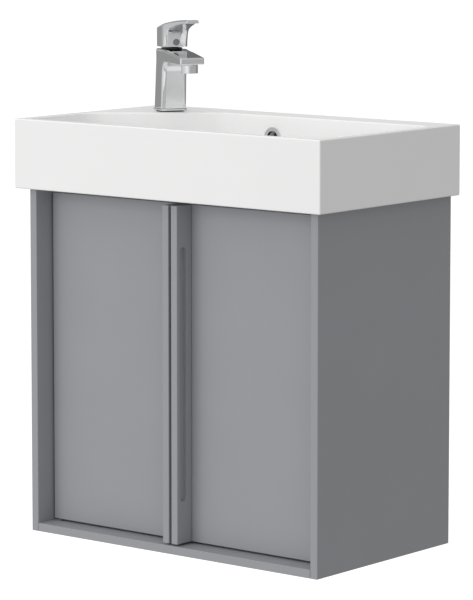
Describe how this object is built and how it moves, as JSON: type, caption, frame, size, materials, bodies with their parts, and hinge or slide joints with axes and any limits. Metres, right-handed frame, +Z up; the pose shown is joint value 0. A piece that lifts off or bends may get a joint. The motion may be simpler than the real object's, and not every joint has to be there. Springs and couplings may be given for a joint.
{
  "type": "wall-hung bathroom vanity cabinet",
  "caption": "Wall-hung vanity: grey two-door cabinet in a projecting frame, upright grip boards, white slab washbasin with a corner tap deck, single-lever mixer and trap.",
  "frame": {"origin": "under the middle of the washbasin's outline, level with the cabinet's underside", "axes": "+Z up, +X to the right as one faces the doors, +Y towards the wall, which is the plane y = 0.175 m"},
  "size_m": [0.6, 0.35, 0.801],
  "materials": {
    "lacquer": "matt grey lacquer on board",
    "ceramic": "gloss white glaze",
    "chrome": "bright chrome plate",
    "zinc_steel": "zinc plated",
    "brass": "machined",
    "grey_plastic": "moulded, fine grain",
    "black_plastic": "moulded, satin",
    "indicator": "gloss cap",
    "rubber": "moulded"
  },
  "bodies": {
    "cabinet": {"left_side_panel": "lacquer", "right_side_panel": "lacquer", "bottom_panel": "lacquer", "front_rail": "lacquer", "upper_back_rail": "lacquer", "lower_back_rail": "lacquer", "shelf": "lacquer", "left_front_shelf_pin": "zinc_steel", "left_rear_shelf_pin": "zinc_steel", "right_front_shelf_pin": "zinc_steel", "right_rear_shelf_pin": "zinc_steel", "left_lower_pivot": "zinc_steel", "left_upper_pivot": "zinc_steel", "right_lower_pivot": "zinc_steel", "right_upper_pivot": "zinc_steel", "left_catch": "grey_plastic", "right_catch": "grey_plastic", "left_hanger": "grey_plastic", "right_hanger": "grey_plastic", "left_hook": "zinc_steel", "right_hook": "zinc_steel", "left_wall_plate": "zinc_steel", "right_wall_plate": "zinc_steel", "basin": "ceramic", "overflow_ring": "chrome", "waste_body": "chrome", "waste_gasket": "rubber", "waste_nut": "brass", "trap_head": "chrome", "trap_cup": "chrome", "trap_inlet_nut": "chrome", "outlet_pipe": "chrome", "outlet_nut": "chrome", "wall_rosette": "chrome", "tap_body": "chrome", "tap_base_plate": "chrome", "tap_gasket": "rubber", "tap_stud": "zinc_steel", "tap_clamp_plate": "zinc_steel", "tap_clamp_nut": "brass", "aerator": "chrome", "cartridge_collar": "black_plastic"},
    "left_door": {"left_door": "lacquer", "left_grip_board": "lacquer", "left_lower_bush": "grey_plastic", "left_upper_bush": "grey_plastic", "left_strike_plate": "zinc_steel"},
    "right_door": {"right_door": "lacquer", "right_grip_board": "lacquer", "right_lower_bush": "grey_plastic", "right_upper_bush": "grey_plastic", "right_strike_plate": "zinc_steel"},
    "plug": {"waste_plug": "chrome"},
    "tap_core": {"cartridge_core": "black_plastic"},
    "tap_handle": {"tap_lever": "chrome", "tap_indicator": "indicator"}
  },
  "joints": [
    {"name": "left_door_swing", "type": "hinge", "parent": "cabinet", "child": "left_door", "pos_m": [-0.2605, -0.116, 0.275], "axis": [0, 0, -1], "range_deg": [0, 90]},
    {"name": "right_door_swing", "type": "hinge", "parent": "cabinet", "child": "right_door", "pos_m": [0.2605, -0.116, 0.275], "axis": [0, 0, 1], "range_deg": [0, 90]},
    {"name": "plug_press", "type": "slide", "parent": "cabinet", "child": "plug", "axis": [0, 0, -1], "range_m": [0, 0.008]},
    {"name": "tap_turn", "type": "hinge", "parent": "cabinet", "child": "tap_core", "pos_m": [-0.20254, 0.08919, 0.751], "axis": [0, 0, 1], "range_deg": [-45, 45]},
    {"name": "tap_lift", "type": "hinge", "parent": "tap_core", "child": "tap_handle", "pos_m": [-0.2146, 0.0963, 0.757], "axis": [-0.5075, -0.8616, 0], "range_deg": [0, 22]}
  ]
}
